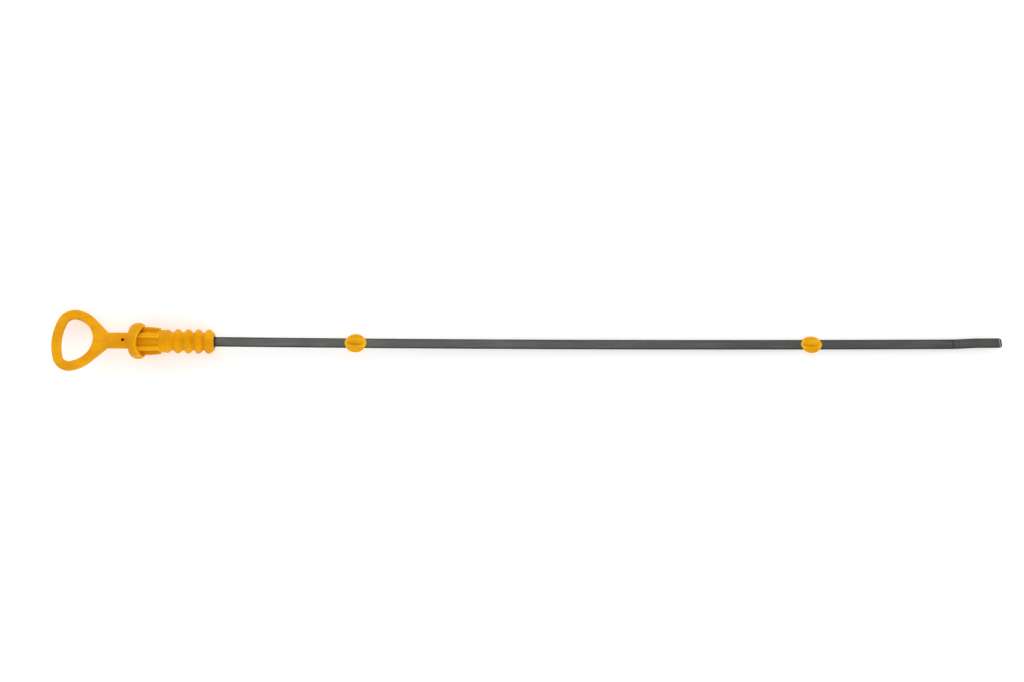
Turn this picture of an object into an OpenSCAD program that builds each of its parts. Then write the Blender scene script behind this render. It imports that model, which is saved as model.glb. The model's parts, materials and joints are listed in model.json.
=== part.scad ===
// Engine oil dipstick.
// A moulded handle with a finger loop, a domed collar, a ribbed body and a ridged plug
// holds a flat steel blade, which carries two centring beads.
// The pieces are drawn in handle space: the origin lies on the collar's seat, +X runs
// towards the tip of the blade and +Z stands square to the loop and the blade.
// at_rest() then lays them on Z = 0, on the collar's rim and the lower bead.

/* [Finger loop] */
// Outside length of the loop along the handle
loop_len = 30.2; // [28:0.2:34]
// Outside width of the loop
loop_w = 39.7; // [36:0.1:42]
// Width of the loop's bar, seen square on
bar_w = 5.7; // [4.6:0.1:6.4]
// Thickness of the loop and of the neck
bar_t = 3.6; // [3:0.2:6]
// Rounding of the long edges of the loop and the neck
edge_r = 1; // [0.4:0.1:1.4]
// Radius of the loop's far side, on the bar's centre line
far_r = 35; // [28:1:60]
// Radius of the loop's two wide corners, on the bar's centre line
corner_r = 7.4; // [6:0.2:9]

/* [Neck] */
// Length of the neck, from the loop's outside to the back of the collar
neck_len = 16.3; // [13:0.5:26]
// Width of the neck
neck_w = 9.8; // [8:0.2:12]
// Angle of the loop's shoulders, where they leave its round side for the neck
shoulder_a = 45; // [38:1:52]
// Radius of the hollow corner between a shoulder and the neck
flare_r = 5; // [2:0.5:6]
// Bore left in each face of the neck by the pins that held the blade in the mould
sight_d = 2.2; // [1.2:0.2:3.2]
// Distance of those bores from the collar's seat
sight_x = 9.5; // [8:0.5:12]

/* [Collar] */
// Outside diameter of the collar
collar_d = 21.9; // [20:0.1:26]
// Width of the collar's straight rim
rim_t = 0.7; // [0.4:0.1:2]
// Radius of the dome behind the rim
dome_r = 5; // [3:0.5:6.5]
// Length of the two side lugs, from the collar's seat
lug_len = 3.6; // [2:0.2:6]
// Rounding of the lugs' outer corner
lug_r = 3.1; // [1:0.1:3.2]
// Radius of the arch that parts the two lugs
arch_r = 14; // [9:0.5:20]
// Turn of the arch about the axis, which brings it over a groove between two ribs
arch_turn = 35; // [0:1:60]

/* [Ribbed body] */
// Length of the ribs, from the collar's seat
rib_len = 13.2; // [10:0.2:20]
// Diameter over the ribs at the collar
rib_d = 17.1; // [15.8:0.1:19]
// Diameter over the ribs at their lower end
rib_end_d = 15.8; // [14.8:0.1:17]
// Length of the ribs' straight part
rib_straight = 7.4; // [4:0.2:9]
// Thickness of one rib
rib_w = 2.3; // [1.6:0.1:3]
// Number of ribs round the body
rib_count = 6; // [4:1:8]
// Diameter of the core between the ribs
rib_core_d = 11.8; // [10.8:0.2:12.4]
// Length over which the grooves between the ribs run out to the drum
run_out = 2.4; // [1:0.2:4]

/* [Plug] */
// Diameter of the plain drum below the ribs
drum_d = 13.75; // [13:0.05:14.4]
// Distance from the end of the ribs to the crest of the first ridge
first_ridge = 4.1; // [3.4:0.1:6]
// Number of ridges round the plug
ridge_count = 5; // [3:1:7]
// Distance from one ridge to the next
ridge_pitch = 6.2; // [5.6:0.1:8]
// Diameter over the ridges' crests, the size that seats in the guide tube
crest_d = 14.8; // [14.5:0.1:16]
// Diameter over the first ridge, which barely rises from the drum
first_crest_d = 14.2; // [13.8:0.1:14.8]
// Rounding of a ridge's crest
crest_r = 1.8; // [1:0.1:2]
// Slope of a ridge's face on the handle's side
back_a = 50; // [45:1:60]
// Slope of a ridge's face on the blade's side
front_a = 41; // [38:1:50]
// Diameter of the plug's core at the drum
core_d = 11.6; // [10.6:0.2:12]
// Diameter of the plug's core at its end
core_end_d = 10.2; // [9.6:0.2:10.4]
// Length of the plug's nose beyond the last crest
nose_len = 3.4; // [3:0.2:6]
// Diameter of the hollow in the plug's end, round the blade
socket_d = 7.4; // [7:0.1:8]
// Depth of that hollow
socket_len = 3; // [1:0.5:6]

/* [Blade] */
// Length of the blade below the plug
blade_len = 479.6; // [300:1:700]
// Width of the blade
blade_w = 6; // [4.4:0.1:6.6]
// Thickness of the blade
blade_t = 1; // [0.6:0.1:1.6]
// Length of the blade's root beyond the collar's seat, inside the neck
root_len = 13.5; // [12:0.5:15]
// Diameter of the holes that key the mouldings to the blade
key_d = 2.6; // [1.6:0.2:3]
// How far the blade bows away from the handle's axis at its tip
blade_bow = 10.5; // [0:0.5:30]
// Distance from the blade's tip to the step above the measuring end
step_x = 30; // [24:1:60]
// Length over which the blade steps
step_len = 15.3; // [8:0.5:20]
// Height of the step
step_rise = 1.4; // [0:0.1:3]
// Rounding of the tip's corners
tip_r = 1.4; // [0.4:0.1:2]
// Length of the bevel on the tip's faces
tip_bevel = 0.6; // [0.2:0.1:1.5]

/* [Beads] */
// Distance from the plug's end to the upper bead's centre
upper_x = 85.4; // [30:1:120]
// Length of the upper bead
upper_len = 13.6; // [11:0.2:18]
// Width of the upper bead
upper_w = 12; // [10:0.2:13]
// Distance from the plug's end to the lower bead's centre
lower_x = 363.8; // [200:1:364]
// Length of the lower bead
lower_len = 13.2; // [11:0.2:18]
// Width of the lower bead
lower_w = 10.9; // [9.6:0.1:12.4]
// Height of a bead's fin above the blade's centre plane
fin_h = 3; // [2.5:0.1:4]
// Thickness of a bead's fin, which is round at its crest
fin_t = 2; // [1.6:0.1:3]
// Thickness of a bead's web, which is round at its rim
web_t = 2; // [1.8:0.1:3]

/* [Hidden] */
$fn = 72;

moulded = [0.93, 0.65, 0.04];
steel = [0.34, 0.34, 0.33];

// Collar and neck
collar_r = collar_d / 2;
collar_back = -rim_t - dome_r;

// The loop's centre line is a closed chain of four arcs: the far side, two corners and
// the round side at the neck, whose radius follows from the other three.
nose_out = collar_back - neck_len;
nose_x = nose_out - bar_w / 2;
far_x = nose_out - loop_len + bar_w / 2;
far_c = far_x + far_r;
corner_y = (loop_w - bar_w) / 2 - corner_r;
far_a = asin(corner_y / (far_r - corner_r));
corner_x = far_c - (far_r - corner_r) * cos(far_a);
corner_gap = nose_x - corner_x;
nose_r = (pow(corner_gap, 2) + pow(corner_y, 2) - pow(corner_r, 2)) / (2 * (corner_gap - corner_r));
nose_c = nose_x - nose_r;
nose_a = atan2(corner_y, corner_x - nose_c);
corner_lap = 0.03;  // the corners and the shoulders stand this proud of the arcs that they join

// Shoulders: straight bars that leave the round side on a tangent and run into the neck
shoulder_in = 1.4;  // the inner side of a shoulder stays this far off the finger hole
shoulder_n = [cos(shoulder_a), sin(shoulder_a)];
shoulder_start = [nose_c, 0] + nose_r * shoulder_n;
shoulder_len = (shoulder_start[1] - neck_w / 2 + bar_w / 2) / cos(shoulder_a);
flare_y = neck_w / 2 + flare_r;
flare_reach = nose_c * shoulder_n[0] + nose_r + bar_w / 2 + flare_r;
flare_c = [(flare_reach - flare_y * shoulder_n[1]) / shoulder_n[0], flare_y];
flare_tangent = flare_c - flare_r * shoulder_n;

// Plug
plug_x = rib_len + first_ridge;
last_crest = plug_x + (ridge_count - 1) * ridge_pitch;
plug_end = last_crest + nose_len;
crest_cut = 0.04;  // depth of the straight cut that brings the crests to size

// Blade
tip_x = plug_end + blade_len;
step_start = tip_x - step_x;
bow_stations = 16;
step_stations = 8;

function bow_z(x) = blade_bow * pow(max(0, x - plug_end) / blade_len, 2);
function bow_slope(x) = atan(2 * blade_bow * max(0, x - plug_end) / pow(blade_len, 2));
function ease(s) = s <= 0 ? 0 : s >= 1 ? 1 : s * s * (3 - 2 * s);
function blade_z(x) = bow_z(x) + step_rise * ease((x - step_start) / step_len);

blade_stations = concat(
    [-root_len],
    [for (i = [0:bow_stations]) plug_end + (step_start - plug_end) * i / bow_stations],
    [for (i = [1:step_stations]) step_start + step_len * i / step_stations],
    [tip_x - tip_bevel]);

key_holes = [rib_len / 2, plug_end + upper_x, plug_end + lower_x];

// How the dipstick lies: the lower bead rests on its fin and on the rim of its web, which
// sets the roll, and the collar's rim and that bead set the pitch.
lower_at = plug_end + lower_x;
fin_r = fin_t / 2;
web_r = web_t / 2;
fin_c = fin_h - fin_r;
web_c = lower_w / 2 - web_r;
roll = atan(fin_c / web_c) + asin((fin_r - web_r) / norm([fin_c, web_c]));
bead_rest = fin_c * cos(roll) + fin_r;
drop = collar_r + bow_z(lower_at) * cos(roll);
pitch = atan(drop / lower_at) - asin(bead_rest / norm([drop, lower_at]));
tip_end = tip_x * cos(pitch) + blade_z(tip_x) * cos(roll) * sin(pitch);
middle_x = (tip_end + (far_x - bar_w / 2) * cos(pitch)) / 2;

module at_rest() {
    translate([-middle_x, 0, collar_r * cos(pitch)])
    rotate([-roll, pitch, 0])
    children();
}

// Turns a shape that stands along +Z so that it lies along +X
module along_x() {
    rotate([0, 90, 0]) children();
}

// A rectangle with round corners, centred
module soft_rect(w, h, r) {
    square([w - 2 * r, h], center = true);
    square([w, h - 2 * r], center = true);
    for (x = [-1, 1], y = [-1, 1])
        translate([x * (w / 2 - r), y * (h / 2 - r)]) circle(r);
}

module both_sides() {
    children();
    mirror([0, 1, 0]) children();
}

// Handle

// Half section of a plate-thick disc with a round rim
module disc_section(r) {
    translate([0, -bar_t / 2]) square([r - edge_r, bar_t]);
    translate([0, edge_r - bar_t / 2]) square([r, bar_t - 2 * edge_r]);
    for (s = [-1, 1])
        translate([r - edge_r, s * (bar_t / 2 - edge_r)]) circle(edge_r);
}

// Half section of a cutter that widens at both faces of the plate, to round a hollow edge
module spool_section(r) {
    over = 1;
    translate([0, -bar_t / 2 - over]) square([r, bar_t + 2 * over]);
    for (s = [0, 1])
        mirror([0, s])
        difference() {
            translate([0, bar_t / 2 - edge_r]) square([r + edge_r, edge_r + over]);
            translate([r + edge_r, bar_t / 2 - edge_r]) circle(edge_r);
        }
}

// Everything between the loop's two corners. Its slanted sides run through the corners'
// centres, square to the joints of the arcs.
module between_corners() {
    far_side = 2 * corner_r * [-cos(far_a), sin(far_a)];
    round_side = 2 * corner_r * [cos(nose_a), sin(nose_a)];
    beyond = nose_c + 2 * nose_r;
    linear_extrude(4 * bar_t, center = true)
    polygon([
        [corner_x, -corner_y], [corner_x + far_side[0], -corner_y - far_side[1]],
        [corner_x + far_side[0], corner_y + far_side[1]], [corner_x, corner_y],
        [corner_x + round_side[0], corner_y + round_side[1]], [beyond, corner_y + round_side[1]],
        [beyond, -corner_y - round_side[1]], [corner_x + round_side[0], -corner_y - round_side[1]]]);
}

module at_corners() {
    for (s = [-1, 1])
        translate([corner_x, s * corner_y]) children();
}

// The loop's plate before its hole is cut
module loop_blank() {
    half = bar_w / 2;
    at_corners() rotate_extrude() disc_section(corner_r + half + corner_lap);
    intersection() {
        translate([far_c, 0]) rotate_extrude() disc_section(far_r + half);
        translate([nose_c, 0]) rotate_extrude() disc_section(nose_r + half);
        between_corners();
    }
}

module finger_hole() {
    half = bar_w / 2;
    at_corners() rotate_extrude() spool_section(corner_r - half + corner_lap);
    intersection() {
        translate([far_c, 0]) rotate_extrude() spool_section(far_r - half);
        translate([nose_c, 0]) rotate_extrude() spool_section(nose_r - half);
        between_corners();
    }
}

module shoulder() {
    translate(shoulder_start)
    rotate([90, 0, shoulder_a])
    linear_extrude(shoulder_len)
    translate([(shoulder_in + corner_lap) / 2, 0])
    soft_rect(bar_w - shoulder_in + corner_lap, bar_t, edge_r);
}

// Fills the hollow corner between a shoulder and the neck
module flare() {
    difference() {
        linear_extrude(bar_t, center = true)
        polygon([flare_tangent, flare_tangent - bar_w / 2 * shoulder_n,
                 [flare_c[0], 0], [flare_c[0], neck_w / 2], flare_c]);
        translate(flare_c) rotate_extrude() spool_section(flare_r);
    }
}

module neck() {
    translate([nose_x, 0, 0])
    rotate([90, 0, 90])
    linear_extrude(-nose_x - rim_t) soft_rect(neck_w, bar_t, edge_r);
}

// Half section of the collar: a quarter-round dome behind a straight rim
module collar_section() {
    translate([0, -rim_t]) square([collar_r, rim_t]);
    intersection() {
        translate([collar_r - dome_r, -rim_t]) circle(dome_r);
        translate([0, collar_back]) square([collar_r, dome_r]);
    }
    translate([0, collar_back]) square([collar_r - dome_r, dome_r]);
}

// Half section of the lugs, before the arch parts them
module lug_section() {
    translate([0, -rim_t]) square([collar_r, rim_t + lug_len - lug_r]);
    translate([0, -rim_t]) square([collar_r - lug_r, rim_t + lug_len]);
    translate([collar_r - lug_r, lug_len - lug_r]) circle(lug_r);
}

module collar() {
    along_x() rotate_extrude() collar_section();
    difference() {
        along_x() rotate_extrude() lug_section();
        rotate([arch_turn, 0, 0])
        translate([arch_r, 0, 0]) cylinder(h = 2 * collar_d, r = arch_r, center = true);
    }
}

module ribbed_body() {
    along_x() cylinder(h = rib_len, d = rib_core_d);
    along_x() translate([0, 0, rib_len - run_out]) cylinder(h = run_out, d1 = rib_core_d, d2 = drum_d);
    intersection() {
        along_x() rotate_extrude()
            polygon([[0, 0], [rib_d / 2, 0], [rib_d / 2, rib_straight],
                     [rib_end_d / 2, rib_len], [0, rib_len]]);
        for (i = [0:rib_count - 1])
            rotate([360 * i / rib_count, 0, 0])
            translate([0, -rib_w / 2, 0])
            cube([rib_len, rib_w, rib_d]);
    }
}

// Half section of one ridge, with its crest at the given height along the plug.
// Its two straight faces run down from the round crest into the core.
module ridge_section(at, crest) {
    c = [crest / 2 - crest_r, at];
    back = crest_r * [cos(back_a), -sin(back_a)];
    front = crest_r * [cos(front_a), sin(front_a)];
    root = min(core_d, core_end_d) / 2 - 0.2;
    back_run = (c[0] + back[0] - root) / tan(back_a);
    front_run = (c[0] + front[0] - root) / tan(front_a);
    translate(c) circle(crest_r);
    polygon([[0, at + back[1] - back_run], [root, at + back[1] - back_run], c + back,
             c + front, [root, at + front[1] + front_run], [0, at + front[1] + front_run]]);
}

module plug() {
    along_x() translate([0, 0, rib_len]) cylinder(h = first_ridge, d = drum_d);
    along_x() translate([0, 0, plug_x])
        cylinder(h = last_crest - plug_x, d1 = core_d, d2 = core_end_d);
    intersection() {
        along_x() rotate_extrude() {
            ridge_section(plug_x, first_crest_d);
            for (i = [1:ridge_count - 1])
                ridge_section(plug_x + i * ridge_pitch, crest_d + 2 * crest_cut);
        }
        along_x() cylinder(h = plug_end, d = crest_d);
    }
    along_x() translate([0, 0, last_crest]) plug_nose();
}

module plug_nose() {
    chamfer = 0.7;
    rotate_extrude()
        polygon([[0, 0], [crest_d / 2, 0], [crest_d / 2 - 0.2, 0.25 * nose_len],
                 [core_end_d / 2 + chamfer, nose_len - chamfer], [core_end_d / 2, nose_len], [0, nose_len]]);
}

module handle() {
    color(moulded)
    at_rest()
    difference() {
        union() {
            loop_blank();
            both_sides() shoulder();
            both_sides() flare();
            neck();
            collar();
            ribbed_body();
            plug();
        }
        finger_hole();
        along_x() translate([0, 0, plug_end - socket_len]) cylinder(h = socket_len + 1, d = socket_d);
        translate([-sight_x, 0, -bar_t]) cylinder(h = 2 * bar_t, d = sight_d);
        blade_form();
    }
}

// Blade

module blade_profile() {
    half = blade_t / 2;
    bevelled = half - tip_bevel / 3;
    polygon(concat(
        [for (x = blade_stations) [x, blade_z(x) + half]],
        [[tip_x, blade_z(tip_x) + bevelled], [tip_x, blade_z(tip_x) - bevelled]],
        [for (i = [len(blade_stations) - 1:-1:0]) [blade_stations[i], blade_z(blade_stations[i]) - half]]));
}

module blade_outline() {
    translate([-root_len, -blade_w / 2]) square([root_len + tip_x - tip_r, blade_w]);
    translate([0, tip_r - blade_w / 2]) square([tip_x, blade_w - 2 * tip_r]);
    for (s = [-1, 1])
        translate([tip_x - tip_r, s * (blade_w / 2 - tip_r)]) circle(tip_r);
}

module blade_form() {
    reach = blade_bow + step_rise + blade_t;
    difference() {
        intersection() {
            rotate([90, 0, 0]) linear_extrude(blade_w, center = true) blade_profile();
            translate([0, 0, -blade_t]) linear_extrude(reach + 2 * blade_t) blade_outline();
        }
        for (x = key_holes)
            translate([x, 0, -blade_t]) cylinder(h = reach + 2 * blade_t, d = key_d);
    }
}

module blade() {
    color(steel)
    at_rest()
    blade_form();
}

// Beads

// A bead's web is what two round-rimmed discs have in common. size is its length and width
// on the middle of the rim.
module bead_web(size) {
    disc_r = (pow(size[0], 2) + pow(size[1], 2)) / (4 * size[1]);
    intersection_for (s = [-1, 1])
        translate([0, s * (size[1] / 2 - disc_r)])
        rotate_extrude() {
            translate([0, -web_r]) square([disc_r, web_t]);
            translate([disc_r, 0]) circle(web_r);
        }
}

// A fin is a slice of a thick coin with a round rim, which sinks into the web at both ends
module bead_fin(reach) {
    coin_r = (pow(fin_h, 2) + pow(reach, 2)) / (2 * fin_h);
    intersection() {
        translate([0, 0, fin_h - coin_r])
        rotate([90, 0, 0])
        rotate_extrude() {
            translate([0, -fin_r]) square([coin_r - fin_r, fin_t]);
            translate([coin_r - fin_r, 0]) circle(fin_r);
        }
        translate([-reach, -fin_r, 0]) cube([2 * reach, fin_t, fin_h + 1]);
    }
}

module bead(at, size) {
    fin_reach = size[0] / 2 - web_r / 2;
    color(moulded)
    at_rest()
    difference() {
        translate([at, 0, bow_z(at)])
        rotate([0, -bow_slope(at), 0]) {
            bead_web(size - [web_t, web_t]);
            bead_fin(fin_reach);
            mirror([0, 0, 1]) bead_fin(fin_reach);
        }
        blade_form();
    }
}

module bead_upper() {
    bead(plug_end + upper_x, [upper_len, upper_w]);
}

module bead_lower() {
    bead(plug_end + lower_x, [lower_len, lower_w]);
}

handle();
blade();
bead_upper();
bead_lower();
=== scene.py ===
"""Engine oil dipstick: finishes for the moulded handle, the steel blade and the two beads,
and the pale board, the lamps and the camera."""

import json
import math

import bpy
from bpy.props import FloatProperty, FloatVectorProperty, PointerProperty
from mathutils import Matrix, Vector

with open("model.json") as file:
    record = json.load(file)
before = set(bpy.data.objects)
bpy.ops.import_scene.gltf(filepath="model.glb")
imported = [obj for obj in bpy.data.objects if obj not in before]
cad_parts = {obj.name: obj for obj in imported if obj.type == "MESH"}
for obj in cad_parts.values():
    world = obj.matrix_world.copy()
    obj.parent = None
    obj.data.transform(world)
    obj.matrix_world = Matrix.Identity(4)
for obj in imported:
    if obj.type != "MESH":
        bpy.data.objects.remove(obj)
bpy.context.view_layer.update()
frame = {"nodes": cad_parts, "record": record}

bl_info = {
    "name": "Engine oil dipstick",
    "version": (1, 0, 0),
    "blender": (4, 5, 0),
    "location": "View3D > Sidebar > Dipstick",
    "description": "Finishes a moulded dipstick handle, its steel blade and its beads",
    "category": "Object",
}

NODES = frame["nodes"]
MM = 0.001

# How the handle lies: its axis dips towards the tip, and the loop is rolled about that axis.
PLUG = next(m for m in frame["record"]["mounts"] if m["name"] == "guide_tube_plug")
HANDLE_PITCH = math.atan2(-PLUG["axis"][2], PLUG["axis"][0])
HANDLE_ROLL = math.radians(24.2)

# Places in millimetres from the collar's seat, along the handle's straight axis. The plug's
# mount is at PLUG_START, the crest of the second ridge.
PLUG_START = 23.5
STEP_START = 495.1
STEP_END = 510.4
TIP = 525.1
BRIGHT_LINE = TIP - 1.25
DARK_END = TIP - 0.85
# Painted shade at the step's bends, in millimetres: how far past the step's start and half their
# width.
# The third number is their strength.
STEP_BEND_SHADES = ((0.9, 1.2, 0.5), (4.1, 0.8, 0.3))
# Painted shade on the strip's rounded edges grows between these distances in millimetres from its
# middle to its slit edge
EDGE_FROM, EDGE_TO = 2.3, 2.75
# How far painted shade reaches from a corner, in millimetres
NYLON_CORNER = 2.4
STEEL_CORNER = 3

# The lamps and the camera, in metres, but the sensor in millimetres
LAMP_WIDTH = 1.4
NEAR_LAMP_PLACE = (0.95, -1.2, 0.7)
FAR_LAMP_PLACE = (-0.4, 1.5, 0.8)
SENSOR_WIDTH = 36
CLIP_START, CLIP_END = 0.01, 50


def linear(hex_colour):
    """An sRGB hex colour as linear RGBA."""
    parts = [int(hex_colour[i:i + 2], 16) / 255 for i in (1, 3, 5)]
    light = [c / 12.92 if c <= 0.04045 else ((c + 0.055) / 1.055) ** 2.4 for c in parts]
    return (*light, 1.0)


def colour_property(name, description, hex_colour):
    return FloatVectorProperty(name=name, description=description, subtype="COLOR",
                               size=4, min=0, max=1, default=linear(hex_colour))


# Nodes

def add(tree, kind, links=None, **settings):
    """Adds one node, sets its attributes or inputs by name, and links sockets to its inputs."""
    node = tree.nodes.new("ShaderNode" + kind)
    for key, value in settings.items():
        if key in node.inputs:
            node.inputs[key].default_value = value
        else:
            setattr(node, key, value)
    for key, socket in (links or {}).items():
        tree.links.new(socket, node.inputs[key])
    return node


def new_material(name, **shader_settings):
    mat = bpy.data.materials.new(name)
    mat.use_nodes = True
    tree = mat.node_tree
    tree.nodes.clear()
    shader = add(tree, "BsdfPrincipled", **shader_settings)
    add(tree, "OutputMaterial", {"Surface": shader.outputs["BSDF"]})
    return mat, tree, shader


def along_handle(tree):
    """Coordinates in millimetres from the collar's seat: X along the handle's axis to the tip,
    Z square to the loop and the blade."""
    turn = Matrix.Rotation(HANDLE_ROLL, 3, "X") @ Matrix.Rotation(-HANDLE_PITCH, 3, "Y")
    seat = Vector(PLUG["pos_m"]) - Vector(PLUG["axis"]) * PLUG_START * MM
    coords = add(tree, "TexCoord")
    return add(tree, "Mapping", {"Vector": coords.outputs["Object"]}, Scale=[1 / MM] * 3,
               Rotation=turn.to_euler(), Location=-(turn @ seat) / MM).outputs["Vector"]


def stretched(tree, place, size):
    """The place divided by a size in millimetres along each axis, for a noise of that grain."""
    return add(tree, "Mapping", {"Vector": place}, Scale=[1 / s for s in size]).outputs["Vector"]


def noise(tree, place, size, detail=3.0, roughness=0.55):
    """A noise whose grain has the given size in millimetres along X, Y and Z."""
    return add(tree, "TexNoise", {"Vector": stretched(tree, place, size)},
               Scale=1.0, Detail=detail, Roughness=roughness).outputs["Fac"]


def remap(tree, value, low, high, to_low=0.0, to_high=1.0):
    limits = {"From Min": low, "From Max": high, "To Min": to_low, "To Max": to_high}
    node = add(tree, "MapRange", {"Value": value}, interpolation_type="SMOOTHSTEP", **limits)
    return node.outputs["Result"]


def math_node(tree, operation, a, b=0):
    node = add(tree, "Math", operation=operation)
    for socket, value in zip(node.inputs, (a, b)):
        if isinstance(value, (int, float)):
            socket.default_value = value
        else:
            tree.links.new(value, socket)
    return node.outputs["Value"]


def blend(tree, factor, below, above):
    """A colour between two, each a linear colour or a socket."""
    node = add(tree, "Mix", data_type="RGBA", clamp_factor=True)
    # The Mix node has its two colours at inputs 6 and 7, and the mixed colour at output 2
    tree.links.new(factor, node.inputs[0])
    for socket, value in ((node.inputs[6], below), (node.inputs[7], above)):
        if isinstance(value, tuple):
            socket.default_value = value
        else:
            tree.links.new(value, socket)
    return node.outputs[2]


def axis(tree, place, letter):
    return add(tree, "SeparateXYZ", {"Vector": place}).outputs[letter]


# Finishes

def moulded_nylon(sizes, name, line=True, corner_shade=0.45, thin_mm=1.3):
    """Nylon 66, injection moulded in a spark-eroded steel mould: an even semi-matt skin with a
    fine grain, softly round edges, and a faint raised line where the halves of the mould met.
    Painted into the colour are a paler glow of light through walls thinner than thin_mm, and shade
    in corners as strong as soiling."""
    mat, tree, shader = new_material(name, IOR=1.53, **{
        "Specular IOR Level": 0.07, "Sheen Weight": 0.2, "Sheen Roughness": 0.35,
        "Sheen Tint": (1.0, 0.88, 0.25, 1.0)})
    place = along_handle(tree)

    # The melt doesn't fill evenly, so the colour drifts a little over a finger's width
    drift = remap(tree, noise(tree, place, (12, 6, 6)), 0.38, 0.62)
    colour = blend(tree, drift, tuple(sizes.nylon_deep), tuple(sizes.nylon))
    # Handling rubs the skin pale in small patches
    rub = remap(tree, noise(tree, place, (2.2, 2.2, 2.2), detail=5), 0.58, 0.74, 0.0, 0.3)
    colour = blend(tree, rub, colour, tuple(sizes.nylon_rubbed))
    # Painted shade: the colour darkens where walls meet
    corner = add(tree, "AmbientOcclusion", Distance=NYLON_CORNER * MM, samples=8,
                 only_local=True).outputs["AO"]
    painted_corner_shade = remap(tree, corner, 0.2, 0.75, corner_shade, 0.0)
    colour = blend(tree, painted_corner_shade, colour, tuple(sizes.nylon_corner_shade))
    # Painted light: thin rims and the edges of the ribs are painted a paler lemon yellow, as if
    # lit through
    body = add(tree, "AmbientOcclusion", Distance=thin_mm * MM, samples=8, inside=True,
               only_local=True).outputs["AO"]
    thin = remap(tree, body, 0.45, 0.9, 0.75, 0.0)
    colour = blend(tree, thin, colour, tuple(sizes.nylon_glow))
    tree.links.new(colour, shader.inputs["Base Color"])

    gloss = noise(tree, place, (5, 5, 5), detail=4)
    tree.links.new(remap(tree, gloss, 0.3, 0.7, 0.36, 0.5), shader.inputs["Roughness"])

    edges = add(tree, "Bevel", samples=6, Radius=sizes.nylon_edge).outputs["Normal"]
    # The spark grain is 0.05 mm across. It is drawn at the grain property's size so that it shows.
    grain_mm = sizes.nylon_grain / MM
    grain = noise(tree, place, [grain_mm] * 3, detail=2)
    skin = add(tree, "Bump", {"Height": grain, "Normal": edges}, Strength=0.35, Distance=0.03 * MM)
    sink = noise(tree, place, (7, 4, 4), detail=1)
    skin = add(tree, "Bump", {"Height": sink, "Normal": skin.outputs["Normal"]}, Strength=0.5,
               Distance=0.25 * MM)
    if line:
        # The line is full to 0.05 mm from the middle and gone at 0.16 mm
        apart = math_node(tree, "ABSOLUTE", axis(tree, place, "Z"))
        seam = remap(tree, apart, 0.05, 0.16, 1.0, 0.0)
        skin = add(tree, "Bump", {"Height": seam, "Normal": skin.outputs["Normal"]}, Strength=0.6,
                   Distance=0.06 * MM)
    tree.links.new(skin.outputs["Normal"], shader.inputs["Normal"])
    return mat


def rolled_spring_steel(sizes):
    """Carbon spring steel strip, cold rolled and slit: dark grey with fine lines along its
    length, with painted shade at the slit edges, next to the mouldings, at the step's bends and on
    the tip's bevel, a painted highlight above the bevel and a painted greenish reflection below
    the step."""
    mat, tree, shader = new_material("rolled_spring_steel", Metallic=1.0)
    place = along_handle(tree)
    x, y = axis(tree, place, "X"), axis(tree, place, "Y")

    # Rolling lines are 0.1 mm apart and some 40 mm long. They are drawn 0.3 mm apart to show.
    lines = noise(tree, place, (40, 0.3, 40), detail=4, roughness=0.7)
    cloud = noise(tree, place, (26, 4, 26), detail=4)
    colour = blend(tree, remap(tree, lines, 0.3, 0.7), tuple(sizes.steel_dark), tuple(sizes.steel))
    colour = blend(tree, remap(tree, cloud, 0.45, 0.7, 0.0, 0.45), colour, tuple(sizes.steel_pale))
    # Painted shade: the strip darkens towards its rounded slit edges
    off_middle = math_node(tree, "ABSOLUTE", y)
    edge = remap(tree, off_middle, EDGE_FROM, EDGE_TO, 0.0, 0.85)
    colour = blend(tree, edge, colour, tuple(sizes.steel_shade))
    # Painted shade: the strip darkens where a moulding stands on it
    corner = add(tree, "AmbientOcclusion", Distance=STEEL_CORNER * MM, samples=8).outputs["AO"]
    painted_corner_shade = remap(tree, corner, 0.45, 0.93, 0.95, 0.0)
    colour = blend(tree, painted_corner_shade, colour, tuple(sizes.steel_contact_shade))
    # Painted reflection: greenish patches below the step, where the strip is also made glossier
    film = math_node(tree, "MULTIPLY", remap(tree, x, STEP_END - 3, STEP_END + 1.5),
                     remap(tree, x, TIP - 6, TIP - 3, 1, 0.2))
    patchiness = noise(tree, place, (7, 3, 7), detail=3)
    film = math_node(tree, "MULTIPLY", film, remap(tree, patchiness, 0.35, 0.6, 0.0, 0.5))
    colour = blend(tree, film, colour, tuple(sizes.steel_reflection))
    # Painted shade: two dark bands across the strip at the bends where the step starts
    for past, half, strength in STEP_BEND_SHADES:
        away = math_node(tree, "ABSOLUTE", math_node(tree, "SUBTRACT", x, STEP_START + past))
        bend_shade = remap(tree, away, half / 3, half, strength, 0.0)
        colour = blend(tree, bend_shade, colour, tuple(sizes.steel_shade))
    # Painted highlight: a bright line just above the tip's bevel, and painted shade on the bevel
    # itself
    away = math_node(tree, "ABSOLUTE", math_node(tree, "SUBTRACT", x, BRIGHT_LINE))
    ground = remap(tree, away, 0.15, 0.45, 0.7, 0.0)
    colour = blend(tree, ground, colour, tuple(sizes.steel_bevel_highlight))
    end = remap(tree, x, DARK_END, TIP - 0.6, 0.0, 0.9)
    colour = blend(tree, end, colour, tuple(sizes.steel_shade))
    tree.links.new(colour, shader.inputs["Base Color"])

    worn = noise(tree, place, (18, 1.2, 18), detail=5)
    rough = remap(tree, worn, 0.3, 0.7, 0.34, 0.5)
    rough = math_node(tree, "SUBTRACT", rough, math_node(tree, "MULTIPLY", film, 0.2))
    tree.links.new(rough, shader.inputs["Roughness"])

    edges = add(tree, "Bevel", samples=6, Radius=sizes.steel_edge_radius).outputs["Normal"]
    skin = add(tree, "Bump", {"Height": lines, "Normal": edges}, Strength=0.5, Distance=0.03 * MM)
    tree.links.new(skin.outputs["Normal"], shader.inputs["Normal"])
    return mat


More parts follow.
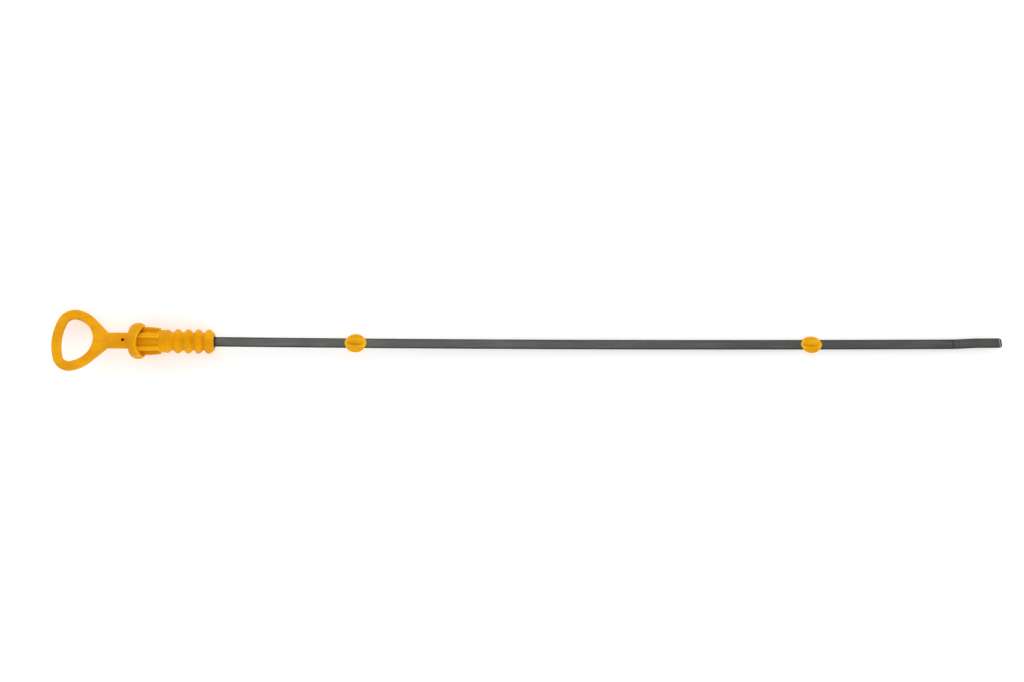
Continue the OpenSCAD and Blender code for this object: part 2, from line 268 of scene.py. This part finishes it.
def painted_board(sizes):
    """A board painted matt white: a plain pale ground that shows the object's soft shadow."""
    mat, tree, shader = new_material("painted_board", Roughness=0.9, **{"Specular IOR Level": 0.1})
    coords = add(tree, "TexCoord").outputs["Object"]
    tone = add(tree, "TexNoise", {"Vector": coords}, Scale=3.0, Detail=2.0).outputs["Fac"]
    pale = tuple(sizes.floor)
    dim = tuple(c * 0.985 for c in pale[:3]) + (1.0,)
    tree.links.new(blend(tree, tone, dim, pale), shader.inputs["Base Color"])
    # To the camera the board glows a little, so that it stays white and its shadow stays light
    glow = remap(tree, add(tree, "LightPath").outputs["Is Camera Ray"], 0, 1, 0, sizes.floor_glow)
    shader.inputs["Emission Color"].default_value = (1, 1, 1, 1)
    tree.links.new(glow, shader.inputs["Emission Strength"])
    return mat


# Properties

class DipstickFinish(bpy.types.PropertyGroup):
    """Colours and grain of the moulded nylon and the steel"""
    nylon: colour_property("Nylon", "Colour of the moulded nylon", "#EAA400")
    nylon_deep: colour_property("Deep nylon", "Colour where the moulding is thick", "#DF9500")
    nylon_rubbed: colour_property("Rubbed nylon", "Colour of small rubbed patches", "#EEB012")
    # The thin colour is painted light showing through thin rims and edges
    nylon_glow: colour_property("Thin nylon", "Colour of thin rims and edges", "#F6CB20")
    # The soiled colour is painted shade in corners and grooves
    nylon_corner_shade: colour_property("Soiled nylon", "Colour of soiled corners", "#A05E00")
    nylon_grain: FloatProperty(
        name="Nylon grain", description="Size of the mould's spark grain",
        default=0.22 * MM, min=0.02 * MM, max=1 * MM, precision=5, unit="LENGTH")
    nylon_edge: FloatProperty(
        name="Nylon edge", description="Radius of the moulding's edges",
        default=0.25 * MM, min=0.05 * MM, max=0.6 * MM, precision=5, unit="LENGTH")
    steel: colour_property("Steel", "Colour of the rolled strip", "#555553")
    steel_dark: colour_property("Dark steel", "Colour of the rolling lines", "#464644")
    steel_pale: colour_property("Pale steel", "Colour of the strip's pale clouds", "#60605E")
    # The ground steel colour is a painted highlight on the tip's bevel
    steel_bevel_highlight: colour_property(
        "Ground steel", "Colour of the bright line above the tip's bevel", "#A0A09E")
    # The steel edge colour is painted shade at the slit edges, at the step's bends and on the
    # tip's bevel
    steel_shade: colour_property(
        "Steel edge", "Colour of the slit edges, the press marks and the bevel", "#2A2A29")
    # The soiled steel colour is painted shade next to the mouldings
    steel_contact_shade: colour_property(
        "Soiled steel", "Colour of the strip where a moulding stands on it", "#1C1006")
    # The oil film colour is a painted greenish reflection below the step
    steel_reflection: colour_property(
        "Oil film", "Colour of the oil film at the measuring end", "#566050")
    steel_edge_radius: FloatProperty(
        name="Steel edge radius", description="Radius of the strip's edges",
        default=0.12 * MM, min=0.02 * MM, max=0.4 * MM, precision=5, unit="LENGTH")


class DipstickStage(bpy.types.PropertyGroup):
    """The surface, the lamps and the camera"""
    floor: colour_property("Floor", "Colour of the board that the dipstick lies on", "#FDFDFD")
    floor_size: FloatProperty(
        name="Floor size", description="Width of the board",
        default=6.0, min=1, max=20, unit="LENGTH")
    floor_glow: FloatProperty(
        name="Floor glow", description="How much the board is lifted for the camera",
        default=0.2, min=0, max=1)
    wall_level: FloatProperty(
        name="Wall level", description="Strength of the light from low all round",
        default=1.1, min=0, max=2)
    sky_level: FloatProperty(
        name="Sky level", description="Strength of the light from straight above",
        default=0.72, min=0, max=2)
    near_lamp: FloatProperty(
        name="Near lamp", description="Power of the soft lamp below right",
        default=7.5, min=0, max=200, unit="POWER")
    far_lamp: FloatProperty(
        name="Far lamp", description="Power of the soft lamp above left",
        default=7.5, min=0, max=200, unit="POWER")
    camera_height: FloatProperty(
        name="Camera height", description="Height of the camera over the board",
        default=0.890, min=0.2, max=5, precision=4, unit="LENGTH")
    camera_x: FloatProperty(
        name="Camera X", description="Where the camera stands along the dipstick",
        default=-0.0104, precision=4, unit="LENGTH")
    camera_y: FloatProperty(
        name="Camera Y", description="Where the camera stands across the dipstick",
        default=0.0026, precision=4, unit="LENGTH")
    camera_roll: FloatProperty(
        name="Camera roll", description="Turn of the camera about its line of sight",
        default=math.radians(0.68), precision=4, subtype="ANGLE")
    lens: FloatProperty(
        name="Lens", description="Focal length, in millimetres",
        default=50.98, min=10, max=300)


# Operators

def dress(node, mat):
    """Gives a node one material on all of its faces."""
    mesh = NODES[node].data
    mesh.materials.clear()
    mesh.materials.append(mat)


class DIPSTICK_OT_handle(bpy.types.Operator):
    """Finish the handle as moulded nylon"""
    bl_idname = "dipstick.handle"
    bl_label = "Handle"

    def execute(self, context):
        dress("handle", moulded_nylon(context.scene.dipstick_finish, "moulded_nylon"))
        return {"FINISHED"}


class DIPSTICK_OT_blade(bpy.types.Operator):
    """Finish the blade as rolled spring steel"""
    bl_idname = "dipstick.blade"
    bl_label = "Blade"

    def execute(self, context):
        dress("blade", rolled_spring_steel(context.scene.dipstick_finish))
        return {"FINISHED"}


class DIPSTICK_OT_beads(bpy.types.Operator):
    """Finish the two beads as small nylon mouldings"""
    bl_idname = "dipstick.beads"
    bl_label = "Beads"

    def execute(self, context):
        # The beads get stronger painted shade in corners and less painted glow through thin walls
        # than the handle
        nylon = moulded_nylon(context.scene.dipstick_finish, "moulded_nylon_bead",
                              line=False, corner_shade=0.95, thin_mm=0.6)
        for node in ("bead_upper", "bead_lower"):
            dress(node, nylon)
        return {"FINISHED"}


def area_lamp(name, power, place):
    """A square lamp that points at the middle of the dipstick."""
    data = bpy.data.lights.new(name, "AREA")
    data.shape, data.size, data.energy = "SQUARE", LAMP_WIDTH, power
    lamp = bpy.data.objects.new(name, data)
    lamp.location = place
    lamp.rotation_euler = (-Vector(place)).to_track_quat("-Z", "Y").to_euler()
    bpy.context.scene.collection.objects.link(lamp)


class DIPSTICK_OT_stage(bpy.types.Operator):
    """Build the pale board, the soft lamps and the camera above the dipstick"""
    bl_idname = "dipstick.stage"
    bl_label = "Stage"

    def execute(self, context):
        scene, sizes = context.scene, context.scene.dipstick_stage
        half = sizes.floor_size / 2
        mesh = bpy.data.meshes.new("board")
        corners = [(-half, -half, 0), (half, -half, 0), (half, half, 0), (-half, half, 0)]
        mesh.from_pydata(corners, [], [(0, 1, 2, 3)])
        board = bpy.data.objects.new("board", mesh)
        mesh.materials.append(painted_board(sizes))
        scene.collection.objects.link(board)

        # A white room. The camera and glossy rays see it as plain white.
        world = bpy.data.worlds.new("white_room")
        world.use_nodes = True
        tree = world.node_tree
        tree.nodes.clear()
        path = add(tree, "LightPath").outputs
        seen = math_node(tree, "MAXIMUM", path["Is Camera Ray"], path["Is Glossy Ray"])
        # The walls of the room are brighter than its ceiling, as in a light tent
        height = axis(tree, add(tree, "TexCoord").outputs["Generated"], "Z")
        even = remap(tree, height, 0, 1, sizes.wall_level, sizes.sky_level)
        to_white = math_node(tree, "MULTIPLY", seen, math_node(tree, "SUBTRACT", 1.0, even))
        level = math_node(tree, "ADD", even, to_white)
        sky = add(tree, "Background", {"Strength": level}, Color=(1, 1, 1, 1))
        add(tree, "OutputWorld", {"Surface": sky.outputs["Background"]})
        scene.world = world

        area_lamp("near_lamp", sizes.near_lamp, NEAR_LAMP_PLACE)
        area_lamp("far_lamp", sizes.far_lamp, FAR_LAMP_PLACE)

        data = bpy.data.cameras.new("camera")
        data.sensor_width, data.lens = SENSOR_WIDTH, sizes.lens
        data.clip_start, data.clip_end = CLIP_START, CLIP_END
        camera = bpy.data.objects.new("camera", data)
        camera.location = (sizes.camera_x, sizes.camera_y, sizes.camera_height)
        camera.rotation_euler = (0, 0, sizes.camera_roll)
        scene.collection.objects.link(camera)
        scene.camera = camera
        scene.view_settings.view_transform = "Standard"
        return {"FINISHED"}


class DIPSTICK_PT_panel(bpy.types.Panel):
    """Dipstick pieces and their settings"""
    bl_label = "Oil dipstick"
    bl_idname = "DIPSTICK_PT_panel"
    bl_space_type = "VIEW_3D"
    bl_region_type = "UI"
    bl_category = "Dipstick"

    def draw(self, context):
        for group in (context.scene.dipstick_finish, context.scene.dipstick_stage):
            box = self.layout.box()
            for key in group.bl_rna.properties.keys():
                if key not in ("rna_type", "name"):
                    box.prop(group, key)
        for operator in OPERATORS:
            self.layout.operator(operator.bl_idname)


OPERATORS = (DIPSTICK_OT_handle, DIPSTICK_OT_blade, DIPSTICK_OT_beads, DIPSTICK_OT_stage)
CLASSES = (DipstickFinish, DipstickStage) + OPERATORS + (DIPSTICK_PT_panel,)


def register():
    for cls in CLASSES:
        bpy.utils.register_class(cls)
    bpy.types.Scene.dipstick_finish = PointerProperty(type=DipstickFinish)
    bpy.types.Scene.dipstick_stage = PointerProperty(type=DipstickStage)


def unregister():
    del bpy.types.Scene.dipstick_stage
    del bpy.types.Scene.dipstick_finish
    for cls in reversed(CLASSES):
        bpy.utils.unregister_class(cls)


def main():
    register()
    bpy.ops.dipstick.handle()
    bpy.ops.dipstick.blade()
    bpy.ops.dipstick.beads()
    bpy.ops.dipstick.stage()


if __name__ == "__main__":
    main()
